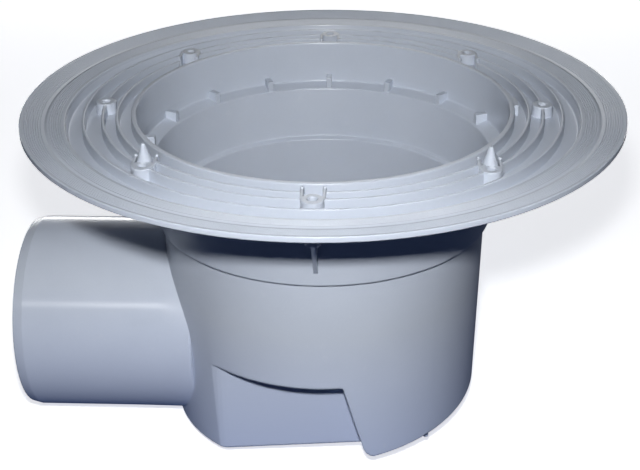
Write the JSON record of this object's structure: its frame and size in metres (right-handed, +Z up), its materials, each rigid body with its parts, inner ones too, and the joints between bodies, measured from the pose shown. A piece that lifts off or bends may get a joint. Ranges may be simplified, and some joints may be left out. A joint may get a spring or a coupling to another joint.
{
  "type": "flat roof drain body",
  "caption": "Round-flanged flat roof drain body with a stepped inlet cup, a sump with a sloping floor and a horizontal pipe spigot.",
  "frame": {"origin": "centre of the inlet in the plane of the flange rim's top face", "axes": "+Z up along the axis of the flange and the cup, -X along the outlet spigot"},
  "size_m": [0.3255, 0.315, 0.1951],
  "materials": {
    "moulded_plastic": "satin moulded polypropylene, light blue-grey"
  },
  "bodies": {
    "root": {"drain_body": "moulded_plastic"}
  },
  "joints": []
}
